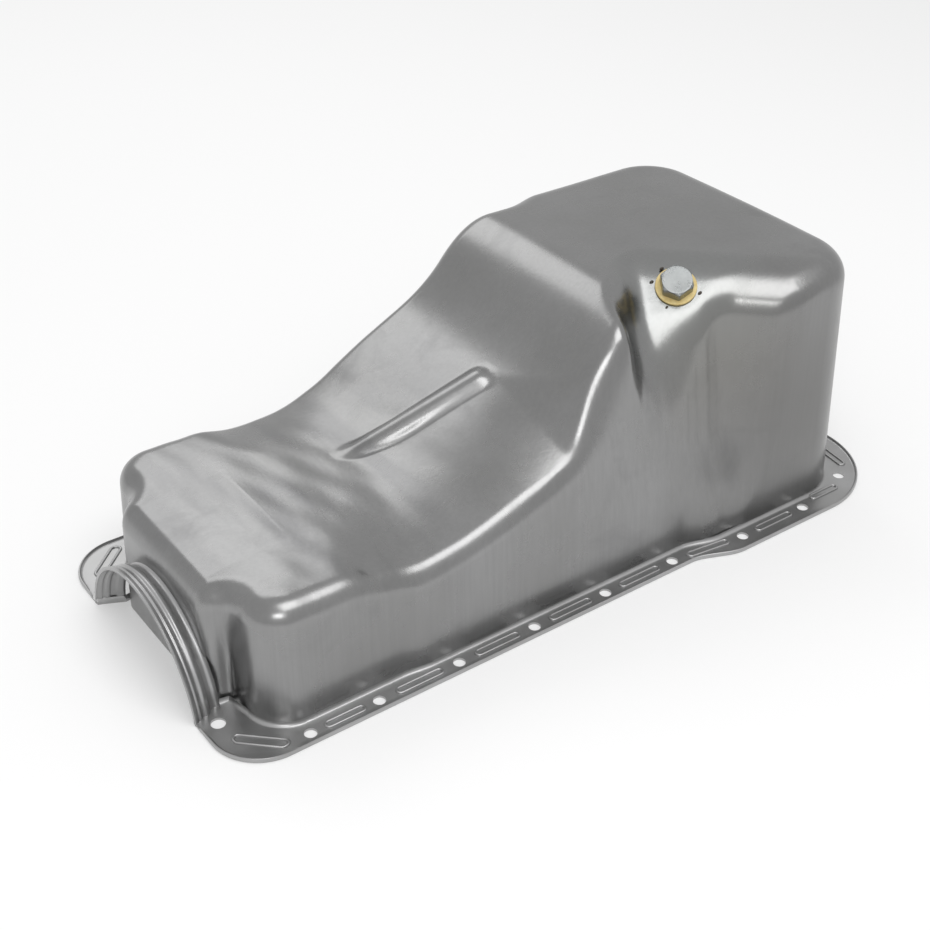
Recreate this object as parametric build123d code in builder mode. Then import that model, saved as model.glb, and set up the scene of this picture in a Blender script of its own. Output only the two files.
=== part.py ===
from build123d import *
import math
import os

# An engine oil pan standing on its gasket face, pressed from one steel sheet.
# X runs from the arch end to the sump end, Y across, Z up from the gasket face.
# Places along the pan are measured from the arch end, and along() centres them.

# Sheet
sheet = 1.5

# Gasket rail
rail_length = 506.0
rail_half_width_narrow = 116.5
rail_half_width_wide = 127.0
rail_step_start = 328.0
rail_step_end = 361.0
rail_step_radius = 18.0
rail_corner_radius_arch_end = 32.0
rail_corner_radius_sump_end = 61.0
lip_height = 3.2

# Rail bolts
bolt_hole = 7.6
arch_bolt_hole = 8.7
first_bolt = 48.6
second_bolt = 93.8
bolt_pitch = 55.6
narrow_pitches = 4
wide_pitches = 6
bolt_inset_narrow = 7.8
bolt_inset_wide = 11.5
arch_bolt_from_end = 10.8
arch_bolt_spacing = 144.8
corner_bolt_from_end = 30.3
corner_bolt_spacing = 206.4
cover_bolt_from_end = 10.5
cover_bolt_spacing = 122.0

# Pressed beads in the rail
bead_width = 6.0
bead_height = 0.9
bead_share_of_pitch = 0.56
bead_side = 1.2
corner_bead_from_end = 23.2
corner_bead_spacing = 196.6
corner_bead_turn = 43.0
corner_bead_length = 31.0
corner_bead_width = 7.6

# Walls
wall_half_width_narrow = 100.0
wall_half_width_wide = 106.5
end_wall_start = 29.0
end_wall_finish = 476.0
wall_step_start = 331.0
wall_step_end = 356.0
wall_step_radius = 30.0
end_corner_radius = 24.0
sump_corner_radius = 38.0
top_edge_radius = 18.0

# Side profile
shallow_height = 83.0
ramp_foot = 165.0
ramp_foot_height = 80.0
ramp_knee = 257.0
ramp_knee_height = 127.0
sump_start = 295.0
sump_height = 172.0
ramp_foot_radius = 100.0
ramp_knee_radius = 80.0
sump_edge_radius = 40.0

# Hood over the seal arch, and the slope behind it
hood_start = 17.0
hood_half_width = 55.0
hood_shoulder_height = 34.0
hood_top_half_width = 36.0
hood_front_height = 60.0
hood_front_radius = 9.0
hood_back = 66.0
hood_slope_half_width = 42.0
hood_slope_side = 38.0

# Seal arches
arch_rim_radius = 66.0
arch_valley_radius = 61.5
arch_centre_height = -10.0
cover_arch_rim_radius = 50.0
cover_arch_valley_radius = 47.0
band_depth = 15.0
seal_bead_places = (4.5, 10.5)
seal_bead_radii = (1.4, 2.2)

# Scallop over each long side
scallop_fall = 24.0
scallop_start = 82.0
scallop_floor_start = 104.0
scallop_floor_end = 165.0
scallop_floor_height = 62.0
scallop_rise = 225.0
scallop_rise_height = 97.0
scallop_end = 250.0
scallop_end_height = 125.0
scallop_radius = 12.0
scallop_margin = 12.0

# Pressed rib on the ramp
rib_start = (152.0, 14.0, 77.0)
rib_end = (236.0, -8.0, 107.0)
rib_radius = 10.0

# Drain facet
drain_from_arch_end = 354.0
drain_side = -51.0
drain_below_sump = 11.0
drain_tilt = 36.0
drain_heading = 229.0
facet_half_width = 24.0
facet_length = 60.0
facet_side_slope = 40.0
facet_hole = 14.0

# The wall under the facet leans in, from its foot up to the facet's low edge
lean_end = 346.0
lean_end_slope = 45.0
lean_side = 76.0
lean_below_sump = 22.0
lean_pitch = 9.6
lean_heading = 276.3

# Drain plug, gasket and welded nut
shank_diameter = 12.7
shank_length = 15.0
plug_across_flats = 19.0
plug_head_height = 8.0
plug_head_chamfer = 0.97
gasket_diameter = 26.0
gasket_thickness = 2.0
gasket_clearance = 0.15
thread_clearance = 0.05
nut_diameter = 26.0
nut_height = 8.0


def along(distance):
    """X of a place given by its distance from the arch end."""
    return distance - rail_length / 2


def wall_outline(inset):
    """Half the wall line, as points and corner radii, drawn in by inset."""
    step_shift = inset / 4
    points = [
        (along(end_wall_finish - inset), 0),
        (along(end_wall_finish - inset), wall_half_width_wide - inset),
        (along(wall_step_end + step_shift), wall_half_width_wide - inset),
        (along(wall_step_start + step_shift), wall_half_width_narrow - inset),
        (along(end_wall_start + inset), wall_half_width_narrow - inset),
        (along(end_wall_start + inset), 0),
    ]
    radii = [
        sump_corner_radius - inset,
        wall_step_radius - inset,
        wall_step_radius + inset,
        end_corner_radius - inset,
    ]
    return points, radii


def facing(tilt, heading):
    """Direction tilted from straight up by tilt, towards heading, and the level one."""
    tilt = math.radians(tilt)
    heading = math.radians(heading)
    outward = Vector(
        math.sin(tilt) * math.cos(heading),
        math.sin(tilt) * math.sin(heading),
        math.cos(tilt),
    )
    level = Vector(-math.sin(heading), math.cos(heading), 0)
    return outward, level


def drain_plane(depth):
    """The drain facet's plane, its Z out of the pan, sunk by depth."""
    outward, level = facing(drain_tilt, drain_heading)
    seat = Plane(
        origin=(along(drain_from_arch_end), drain_side, sump_height - drain_below_sump),
        x_dir=level,
        z_dir=outward,
    )
    return seat.offset(-depth)


def lean_plane(depth):
    """The leaning wall's plane, its Z out of the pan, sunk by depth."""
    outward, level = facing(90 - lean_pitch, lean_heading)
    corner = Plane(
        origin=(along(lean_end), -lean_side, sump_height - lean_below_sump),
        x_dir=level,
        z_dir=outward,
    )
    return corner.offset(-depth)


def hood(inset):
    """The hood behind the seal arch, drawn in by inset all round."""
    run = hood_back - hood_start
    rise = shallow_height - hood_front_height
    lift = inset * math.hypot(run, rise) / run
    front_top = hood_front_height - lift + inset * rise / run
    shoulder = hood_shoulder_height - inset
    with BuildPart() as form:
        with BuildSketch(Plane.XZ):
            with BuildLine():
                FilletPolyline(
                    (along(hood_start + inset), 0),
                    (along(hood_start + inset), front_top),
                    (along(hood_back), shallow_height - lift),
                    (along(hood_back), 0),
                    radius=[hood_front_radius - inset, hood_front_radius / 9],
                )
                Line((along(hood_back), 0), (along(hood_start + inset), 0))
            make_face()
        extrude(amount=hood_half_width, both=True)
        with BuildSketch(Plane.YZ.offset(along(hood_start + inset))):
            with BuildLine():
                FilletPolyline(
                    (hood_half_width - inset, 0),
                    (hood_half_width - inset, shoulder),
                    (hood_top_half_width - inset / 2, shallow_height),
                    (inset / 2 - hood_top_half_width, shallow_height),
                    (inset - hood_half_width, shoulder),
                    (inset - hood_half_width, 0),
                    radius=[hood_front_radius, hood_front_radius, hood_front_radius, hood_front_radius],
                )
                Line((inset - hood_half_width, 0), (hood_half_width - inset, 0))
            make_face()
        extrude(amount=run, mode=Mode.INTERSECT)
    return form.part


def pressing(inset):
    """The pan's closed form without its rail, drawn in by inset all round."""
    hood_form = hood(inset)
    points, radii = wall_outline(inset)
    top = sump_height - inset
    low = shallow_height - inset
    past_end = rail_length * 1.1
    before_start = -rail_length * 0.1
    with BuildPart() as form:
        with BuildSketch():
            with BuildLine():
                FilletPolyline(*points, radius=radii)
                mirror(about=Plane.XZ)
            make_face()
        extrude(amount=sump_height * 1.1)
        with BuildSketch(Plane.XZ):
            with BuildLine():
                FilletPolyline(
                    (along(before_start), low),
                    (along(ramp_foot + inset / 4), ramp_foot_height - inset),
                    (along(ramp_knee + inset / 3), ramp_knee_height - inset),
                    (along(sump_start + inset / 3), top),
                    (along(past_end), top),
                    radius=[
                        ramp_foot_radius + inset,
                        ramp_knee_radius + inset,
                        sump_edge_radius - inset,
                    ],
                )
                Polyline(
                    (along(past_end), top),
                    (along(past_end), 0),
                    (along(before_start), 0),
                    (along(before_start), low),
                )
            make_face()
        extrude(amount=rail_half_width_wide, both=True, mode=Mode.INTERSECT)
        tops = ShapeList(f for f in form.faces() if f.normal_at().Z > 0.3)
        walls = ShapeList(f for f in form.faces() if abs(f.normal_at().Z) < 0.3)
        wall_edges = walls.edges()
        rim = [e for e in tops.edges() if any(e.is_same(other) for other in wall_edges)]
        fillet(ShapeList(rim), top_edge_radius - inset)

        # The slope down to the hood
        run = hood_back - hood_start
        rise = shallow_height - hood_front_height
        hood_slope = Plane(
            origin=(along(hood_start), 0, hood_front_height),
            x_dir=(run, 0, rise),
            z_dir=(-rise, 0, run),
        )
        with BuildSketch(hood_slope.offset(-inset)):
            Rectangle(3 * run, 2 * (hood_slope_half_width + inset))
        extrude(amount=shallow_height, taper=-hood_slope_side, mode=Mode.SUBTRACT)

        add(hood_form)

        # The scallops along both sides, each cut by a ramp that falls outwards
        fall = math.tan(math.radians(scallop_fall))
        tool_side = wall_half_width_narrow + scallop_margin
        drop = scallop_margin * fall + inset / math.cos(math.radians(scallop_fall))
        for side in (-1, 1):
            with BuildSketch(Plane.XZ.offset(-side * tool_side)):
                with BuildLine():
                    FilletPolyline(
                        (along(scallop_start - inset), shallow_height * 2),
                        (along(scallop_start - inset), shallow_height - drop),
                        (along(scallop_floor_start - inset), scallop_floor_height - drop),
                        (along(scallop_floor_end), scallop_floor_height - drop),
                        (along(scallop_rise), scallop_rise_height - drop),
                        (along(scallop_end), scallop_end_height - drop),
                        (along(scallop_end), shallow_height * 2),
                        radius=scallop_radius,
                    )
                    Line(
                        (along(scallop_start - inset), shallow_height * 2),
                        (along(scallop_end), shallow_height * 2),
                    )
                make_face()
            extrude(amount=tool_side, dir=(0, -side, fall), mode=Mode.SUBTRACT)

        # The rib pressed up on the ramp
        rib_from = Vector(along(rib_start[0]), rib_start[1], rib_start[2])
        rib_to = Vector(along(rib_end[0]), rib_end[1], rib_end[2])
        rib_line = rib_to - rib_from
        with BuildSketch(Plane(origin=rib_from, z_dir=rib_line)):
            Circle(rib_radius - inset)
        extrude(amount=rib_line.length)
        with Locations(rib_from, rib_to):
            Sphere(rib_radius - inset)

        # The leaning wall and the drain facet above it
        reach = sump_height * 2
        with BuildSketch(lean_plane(inset)):
            with Locations((inset - reach / 2, 0)):
                Rectangle(reach, reach)
        extrude(amount=wall_half_width_narrow, taper=-lean_end_slope, mode=Mode.SUBTRACT)
        with BuildSketch(drain_plane(inset)):
            SlotCenterToCenter(facet_length, 2 * (facet_half_width + inset), rotation=90)
        extrude(amount=facet_length, taper=-facet_side_slope, mode=Mode.SUBTRACT)
    return form.part


def seal_band(rim_radius, valley_radius, thickness, front, back):
    """Half disc under a seal arch's band, turned about the arch's axis."""
    with BuildPart() as band:
        with BuildSketch(Plane.XZ):
            with BuildLine():
                Polyline(
                    (front, arch_centre_height),
                    (front, arch_centre_height + rim_radius + thickness),
                    (back, arch_centre_height + valley_radius + thickness),
                    (back, arch_centre_height),
                    close=True,
                )
            make_face()
        revolve(axis=Axis((0, 0, arch_centre_height), (1, 0, 0)))
        split(bisect_by=Plane.XY, keep=Keep.TOP)
    return band.part


def rail_plate(inset, height):
    """The rail's full plan, drawn in by inset, up to a height."""
    with BuildPart() as plate:
        with BuildSketch():
            with BuildLine():
                FilletPolyline(
                    (along(rail_length - inset), 0),
                    (along(rail_length - inset), rail_half_width_wide - inset),
                    (along(rail_step_end), rail_half_width_wide - inset),
                    (along(rail_step_start), rail_half_width_narrow - inset),
                    (along(inset), rail_half_width_narrow - inset),
                    (along(inset), 0),
                    radius=[
                        rail_corner_radius_sump_end - inset,
                        rail_step_radius,
                        rail_step_radius,
                        rail_corner_radius_arch_end - inset,
                    ],
                )
                mirror(about=Plane.XZ)
            make_face()
        extrude(amount=height)
    return plate.part


# Bolt places on one side, as distance from the arch end and from the middle line
narrow_line = rail_half_width_narrow - bolt_inset_narrow
wide_line = rail_half_width_wide - bolt_inset_wide
last_narrow = second_bolt + narrow_pitches * bolt_pitch
rail_bolts = [(first_bolt, narrow_line)]
for step in range(wide_pitches + 1):
    line = narrow_line if step <= narrow_pitches else wide_line
    rail_bolts.append((second_bolt + step * bolt_pitch, line))
corner_bolt = (rail_length - corner_bolt_from_end, corner_bolt_spacing / 2)
arch_bolt = (arch_bolt_from_end, arch_bolt_spacing / 2)
cover_bolt = (rail_length - cover_bolt_from_end, cover_bolt_spacing / 2)

# Beads lie between neighbouring bolts, along the line that joins them, and in the corners
beads = []
for (start, start_side), (finish, finish_side) in zip(rail_bolts, rail_bolts[1:]):
    for side in (-1, 1):
        middle = ((start + finish) / 2, side * (start_side + finish_side) / 2)
        turn = math.degrees(math.atan2(side * (finish_side - start_side), finish - start))
        beads.append((middle, turn, (finish - start) * bead_share_of_pitch, bead_width))
for side in (-1, 1):
    middle = (corner_bead_from_end, side * corner_bead_spacing / 2)
    beads.append((middle, side * corner_bead_turn, corner_bead_length, corner_bead_width))

outer_form = pressing(0)
inner_form = pressing(sheet)
flange = rail_plate(0, sheet)
lip_outside = rail_plate(0, lip_height)
lip_inside = rail_plate(sheet, lip_height)
arch_outside = seal_band(
    arch_rim_radius,
    arch_valley_radius,
    sheet,
    along(0),
    along(hood_start),
)
arch_inside = seal_band(
    arch_rim_radius,
    arch_valley_radius,
    0,
    along(0),
    along(hood_start + sheet),
)
cover_arch_outside = seal_band(
    cover_arch_valley_radius,
    cover_arch_rim_radius,
    sheet,
    along(end_wall_finish - sheet),
    along(rail_length),
)
cover_arch_inside = seal_band(
    cover_arch_valley_radius,
    cover_arch_rim_radius,
    0,
    along(end_wall_finish - 2 * sheet),
    along(rail_length),
)

with BuildPart() as pan_body:
    add(lip_outside)
    add(lip_inside, mode=Mode.SUBTRACT)
    add(flange)
    add(outer_form)
    add(arch_outside)
    add(cover_arch_outside)

    # Seal beads around the arch
    slope = (arch_rim_radius - arch_valley_radius) / hood_start
    for place, bead_radius in zip(seal_bead_places, seal_bead_radii):
        ring_radius = arch_rim_radius + sheet - place * slope
        with BuildSketch(Plane.XZ):
            with Locations((along(place), arch_centre_height + ring_radius)):
                RegularPolygon(bead_radius, 8)
        revolve(axis=Axis((0, 0, arch_centre_height), (1, 0, 0)), revolution_arc=360)
    split(bisect_by=Plane.XY, keep=Keep.TOP)

    # Beads in the rail, raised outside and hollow beneath
    for (distance, side), turn, length, width in beads:
        with BuildSketch(Plane.XY.offset(sheet)):
            with Locations((along(distance), side)):
                SlotOverall(length, width, rotation=turn)
        extrude(amount=bead_height)

    add(inner_form, mode=Mode.SUBTRACT)
    add(arch_inside, mode=Mode.SUBTRACT)
    add(cover_arch_inside, mode=Mode.SUBTRACT)
    for (distance, side), turn, length, width in beads:
        with BuildSketch(Plane.XY):
            with Locations((along(distance), side)):
                Rectangle(length - width, width - 2 * bead_side, rotation=turn)
        extrude(amount=bead_height, mode=Mode.SUBTRACT)

    # Bolt holes
    for side in (-1, 1):
        with BuildSketch(Plane.XY):
            with Locations(*[(along(x), side * y) for x, y in rail_bolts + [corner_bolt]]):
                Circle(bolt_hole / 2)
            with Locations(*[(along(x), side * y) for x, y in (arch_bolt, cover_bolt)]):
                Circle(arch_bolt_hole / 2)
        extrude(amount=lip_height * 2, mode=Mode.SUBTRACT)

    # Drain hole
    with BuildSketch(drain_plane(0)):
        Circle(facet_hole / 2)
    extrude(amount=-3 * sheet, mode=Mode.SUBTRACT)
pan_body.part.label = "pan_body"

with BuildPart() as drain_nut:
    with BuildSketch(drain_plane(sheet)):
        Circle(nut_diameter / 2)
        Circle(shank_diameter / 2 + thread_clearance, mode=Mode.SUBTRACT)
    extrude(amount=-nut_height)
drain_nut.part.label = "drain_nut"

with BuildPart() as drain_gasket:
    with BuildSketch(drain_plane(0)):
        Circle(gasket_diameter / 2)
        Circle(shank_diameter / 2 + gasket_clearance, mode=Mode.SUBTRACT)
    extrude(amount=gasket_thickness)
    chamfer(drain_gasket.edges().filter_by(GeomType.CIRCLE), gasket_thickness / 8)
drain_gasket.part.label = "drain_gasket"

with BuildPart() as drain_plug:
    with BuildSketch(drain_plane(-gasket_thickness)):
        RegularPolygon(plug_across_flats / 2, 6, major_radius=False)
    extrude(amount=plug_head_height)
    with BuildSketch(drain_plane(-gasket_thickness)):
        Circle(plug_across_flats / 2 + plug_head_height * plug_head_chamfer)
    extrude(amount=plug_head_height, taper=45, mode=Mode.INTERSECT)
    with BuildSketch(drain_plane(-gasket_thickness)):
        Circle(shank_diameter / 2)
    extrude(amount=-shank_length)
drain_plug.part.label = "drain_plug"

os.makedirs("parts", exist_ok=True)
export_step(pan_body.part, "parts/pan_body.step")
export_step(drain_nut.part, "parts/drain_nut.step")
export_step(drain_gasket.part, "parts/drain_gasket.step")
export_step(drain_plug.part, "parts/drain_plug.step")
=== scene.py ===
import bmesh
import bpy
import math
import numpy as np
from mathutils import Matrix, Vector


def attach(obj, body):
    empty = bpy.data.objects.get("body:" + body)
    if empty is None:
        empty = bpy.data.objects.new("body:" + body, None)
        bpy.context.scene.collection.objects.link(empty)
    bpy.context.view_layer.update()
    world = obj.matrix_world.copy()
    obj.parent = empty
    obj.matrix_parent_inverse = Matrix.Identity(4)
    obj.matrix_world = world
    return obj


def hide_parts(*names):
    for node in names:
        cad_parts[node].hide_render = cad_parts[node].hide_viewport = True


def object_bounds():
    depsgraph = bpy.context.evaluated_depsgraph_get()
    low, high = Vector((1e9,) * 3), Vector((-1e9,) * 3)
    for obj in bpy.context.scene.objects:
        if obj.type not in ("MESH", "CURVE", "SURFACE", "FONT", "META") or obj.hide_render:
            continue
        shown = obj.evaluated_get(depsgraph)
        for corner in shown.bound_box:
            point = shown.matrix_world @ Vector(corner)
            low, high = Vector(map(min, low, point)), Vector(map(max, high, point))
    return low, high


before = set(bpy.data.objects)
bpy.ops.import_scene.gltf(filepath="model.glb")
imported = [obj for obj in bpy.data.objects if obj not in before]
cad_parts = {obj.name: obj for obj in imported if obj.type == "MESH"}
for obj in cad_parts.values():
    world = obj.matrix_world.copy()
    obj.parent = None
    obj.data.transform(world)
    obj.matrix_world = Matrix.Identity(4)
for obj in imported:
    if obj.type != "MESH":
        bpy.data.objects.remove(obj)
cad_low, cad_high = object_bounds()

# Shapes are worked out in millimetres, with x from the arch end and z up from the rail's
# gasket face. They become metres in the CAD frame last, in to_metres.
MM = 0.001
RAIL_LENGTH = round((cad_high[0] - cad_low[0]) / MM, 2)
SHEET = 1.5

# Plan of the drawn walls at their foot
WALL_NARROW = 100.0
WALL_WIDE = 108.0
WALL_STEP = (329.0, 358.0)
ARCH_WALL = 28.5
SUMP_WALL = 478.0
ARCH_CORNER = 24.0
SUMP_CORNER = 38.0
DRAFT = math.tan(math.radians(1.9))
FAINT_STEP = (116.0, 136.0)

# Side profile: knot places, heights and how far each bend is rounded
PROFILE_X = (-50.0, 165.0, 257.0, 295.0, 560.0)
PROFILE_Z = (83.0, 80.0, 127.0, 172.0, 172.0)
PROFILE_ROUND = (25.0, 17.0, 19.0)

# Scallops along both long sides: height at the wall, the near one running on up the ramp
NEAR_SCALLOP_X = (60.0, 80.0, 102.0, 129.0, 165.0, 199.0, 228.0, 253.0, 270.0, 290.0, 320.0)
NEAR_SCALLOP_Z = (97.0, 84.0, 72.0, 66.0, 72.0, 81.0, 87.0, 98.0, 110.0, 132.0, 180.0)
NEAR_SCALLOP_ROUND = (6.0, 8.0, 12.0, 14.0, 14.0, 12.0, 12.0, 8.0, 8.0)
FAR_SCALLOP_X = (60.0, 80.0, 105.0, 134.0, 155.0, 180.0, 200.0, 240.0)
FAR_SCALLOP_Z = (97.0, 84.0, 71.0, 69.0, 72.0, 84.0, 100.0, 135.0)
FAR_SCALLOP_ROUND = (6.0, 10.0, 10.0, 10.0, 10.0, 10.0)
SCALLOP_FALL = 0.30
DIMPLE = (103.0, 86.0)
DIMPLE_DEPTH = 0.9
DIMPLE_REACH = 4.5

# Hood over the seal arch
HOOD_FRONT = 16.3
HOOD_HALF_WIDTH = 57.5
HOOD_FRONT_HEIGHT = 74.0
HOOD_RISE = 0.20
HOOD_BACK = 120.0
HOOD_ROUND = 9.0
HOOD_DIP_END = 80.0

# Rib on the ramp
RIB_START = (152.0, 14.0, 73.0)
RIB_END = (236.0, -8.0, 110.5)
RIB_RADIUS = 10.0
RIB_ROUND = 3.0

# Drain facet and plug
FACET_ROUND = 9.0
SEAT = np.array((354.0, -51.0, 161.0))
DRAIN_TILT = math.radians(36.0)
DRAIN_HEADING = math.radians(229.0)
DRAIN_AXIS = np.array((
    math.sin(DRAIN_TILT) * math.cos(DRAIN_HEADING),
    math.sin(DRAIN_TILT) * math.sin(DRAIN_HEADING),
    math.cos(DRAIN_TILT),
))
DRAIN_LEVEL = np.array((-math.sin(DRAIN_HEADING), math.cos(DRAIN_HEADING), 0.0))
DRAIN_DOWN = np.cross(DRAIN_LEVEL, DRAIN_AXIS)
HEAD_TURN = math.radians(11.0)
WELD_RING = 15.2
WELD_ANGLES = (170, 250, 347, 127)

# The near wall leans in under the facet, up to an upright break
LEAN_PLACE = np.array((346.0, -76.0, 150.0))
LEAN_AXIS = np.array((0.108, -0.980, 0.167))
LEAN_BREAK = 372.0
LEAN_FOOT = (8.0, 75.0)
LEAN_FOOT_RELIEF = 12.0
LEAN_ROUND = 8.0
LEAN_BREAK_ROUND = 6.0

# Sloping ledge between the ramp's rim and the leaning wall
LEDGE_PLACE = np.array((332.0, -66.0, 144.0))
LEDGE_AXIS = np.array((-0.212, -0.782, 0.587))
LEDGE_END = 340.0
LEDGE_ROUND = 14.0
LEDGE_END_ROUND = 8.0

# Edge of the ramp beside the ledge and the facet
RIM_PLACE = np.array((300.0, -65.0, 158.0))
RIM_AXIS = np.array((0.618, -0.663, 0.422))
RIM_START = 298.0
RIM_ROUND = 12.0

# Seal arches: centre height and radius at the rim and in the valley
ARCH_RIM = (-10.0, 66.0)
ARCH_VALLEY = (-6.0, 57.5)
COVER_RIM = (-10.0, 50.0)
COVER_VALLEY = (-10.0, 47.0)

# Gasket rail
RAIL_NARROW = 116.5
RAIL_WIDE = round(cad_high[1] / MM, 2)
RAIL_STEP = (326.0, 363.0)
RAIL_ARCH_CORNER = 32.0
RAIL_SUMP_CORNER = 61.0

# Bolts and ridges in the rail
BOLT_HOLE = 7.6
ARCH_BOLT_HOLE = 8.7
FIRST_BOLT = 48.6
SECOND_BOLT = 93.8
BOLT_PITCH = 55.6
BOLT_LINE_NARROW = 108.7
BOLT_LINE_WIDE = 115.5
SUMP_CORNER_BOLT = (RAIL_LENGTH - 30.3, 103.2)
ARCH_BOLT = (10.8, 72.4)
COVER_BOLT = (RAIL_LENGTH - 10.5, 61.0)
BEAD_WIDTH = 4.6
BEAD_Z = SHEET + 0.15

# Camera and floor, in metres
CAMERA_PLACE = (-0.4908, -0.6460, 0.5883)
VIEW_AZIMUTH = math.radians(35.99)
VIEW_ELEVATION = math.radians(34.07)
VIEW_ROLL = math.radians(0.40)
FLOOR_REACH = 8


def to_metres(points):
    """Points in millimetres from the arch end, as metres in the CAD frame."""
    places = np.asarray(points, dtype=float).copy()
    places[..., 0] -= RAIL_LENGTH / 2
    return places * MM


def mesh_piece(name, points, faces, material=None, sharp_angle=40.0):
    """A new object from points in millimetres."""
    mesh = bpy.data.meshes.new(name)
    mesh.from_pydata(to_metres(points).tolist(), [], [list(map(int, f)) for f in faces])
    mesh.update()
    piece = bpy.data.objects.new(name, mesh)
    bpy.context.scene.collection.objects.link(piece)
    if material:
        mesh.materials.append(material)
    smooth(piece, sharp_angle)
    return piece


def smooth(piece, sharp_angle=40.0):
    """Smooth shading, with edges sharp past an angle in degrees."""
    mesh = piece.data
    mesh.polygons.foreach_set("use_smooth", [True] * len(mesh.polygons))
    mesh.set_sharp_from_angle(angle=math.radians(sharp_angle))
    mesh.update()


def grid_faces(rows, columns, close_rows=False, close_columns=False, start=0):
    """Quads over a grid of rows x columns points, stored row after row."""
    last_row = rows if close_rows else rows - 1
    last_column = columns if close_columns else columns - 1
    faces = []
    for i in range(last_row):
        a = start + i * columns
        b = start + (i + 1) % rows * columns
        for j in range(last_column):
            k = (j + 1) % columns
            faces.append((a + j, b + j, b + k, a + k))
    return faces


def bake(piece):
    """Turns a piece with modifiers into a plain mesh."""
    depsgraph = bpy.context.evaluated_depsgraph_get()
    mesh = bpy.data.meshes.new_from_object(piece.evaluated_get(depsgraph))
    old = piece.data
    piece.modifiers.clear()
    piece.data = mesh
    mesh.name = piece.name
    if old.users == 0:
        bpy.data.meshes.remove(old)
    return piece


# Form of the drawn shell: below zero inside, above zero outside

def round_max(a, b, radius):
    """Where two forms meet in an outside edge, rounded."""
    over = np.hypot(np.maximum(a + radius, 0), np.maximum(b + radius, 0))
    return np.minimum(np.maximum(a, b), -radius) + over


def round_min(a, b, radius):
    """Where two forms meet in an inside corner, rounded."""
    return -round_max(-a, -b, radius)


def soft_min(a, b, width):
    """Lower of two heights, blended over a width."""
    share = np.clip(0.5 + 0.5 * (b - a) / width, 0, 1)
    return b * (1 - share) + a * share - width * share * (1 - share)


def bent_line(x, knots, heights, rounds):
    """Height along a line of straight runs with rounded bends."""
    slopes = np.diff(heights) / np.diff(knots)
    z = heights[0] + slopes[0] * (x - knots[0])
    for place, change, reach in zip(knots[1:-1], np.diff(slopes), rounds):
        u = x - place
        bend = np.where(u < -reach, 0.0, np.where(u > reach, u, (u + reach) ** 2 / (4 * reach)))
        z = z + change * bend
    return z


def ease(x, start, end):
    """Smooth step from zero at start to one at end."""
    t = np.clip((x - start) / (end - start), 0, 1)
    return t * t * (3 - 2 * t)


def half_width(x):
    """Half the foot's width, with the step out to the sump and a faint one before it."""
    faint = 2.0 * ease(x, *FAINT_STEP) - 0.6
    step = ease(x, *WALL_STEP)
    return WALL_NARROW + (WALL_WIDE - WALL_NARROW) * step + faint * (1 - step)


def deck_height(x, y):
    """Height of the pan's upper face: deck, ramp and sump top."""
    side = np.abs(y)
    z = bent_line(x, PROFILE_X, PROFILE_Z, PROFILE_ROUND)
    # Draw waves across the deck and a slight crown
    waves = 0.16 * np.sin((x - 0.25 * y) * 0.19) + 0.10 * np.sin((x + 0.35 * y) * 0.31 + 1.3)
    z = z + waves * ease(x, 30, 60) * (1 - ease(x, 170, 215))
    z = z + 0.12 * np.sin((x - 0.5 * y) * 0.07) * ease(x, 290, 340)
    z = z - 0.00012 * side ** 2
    # The deck dips towards the hood's front edge
    dip = HOOD_FRONT_HEIGHT + HOOD_RISE * (x - HOOD_FRONT) + 0.15 * np.maximum(side - 40.0, 0)
    dip = dip + 2.0 * np.maximum(x - HOOD_DIP_END, 0)
    z = soft_min(z, dip, 8.0)
    # Scallops fall away to the walls; the near one steepens as it climbs the ramp
    near = bent_line(x, NEAR_SCALLOP_X, NEAR_SCALLOP_Z, NEAR_SCALLOP_ROUND)
    far = bent_line(x, FAR_SCALLOP_X, FAR_SCALLOP_Z, FAR_SCALLOP_ROUND)
    near_part = ease(-y, -15, 15)
    climb = ease(x, 180, 225) * near_part
    fall = SCALLOP_FALL + 0.16 * climb + 1.5 * ease(x, 238, 286) * near_part
    ramp = near * near_part + far * (1 - near_part) + (WALL_NARROW - side) * fall
    edge = 8.0 + 4.0 * ease(x, 100, 150) + 6.0 * climb
    return soft_min(z, ramp, edge)


def folds(x, y, z):
    """Soft upright folds in the near wall under the facet."""
    wave = 0.35 * np.sin((x - 296) * 2 * math.pi / 23.0)
    wave = wave + 0.2 * np.sin((x - 290) * 2 * math.pi / 9.7)
    span = ease(x, 282, 306) * (1 - ease(x, 366, 384))
    return wave * span * ease(z, 20, 70) * (1 - ease(z, 125, 150)) * (y < 0)


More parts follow.
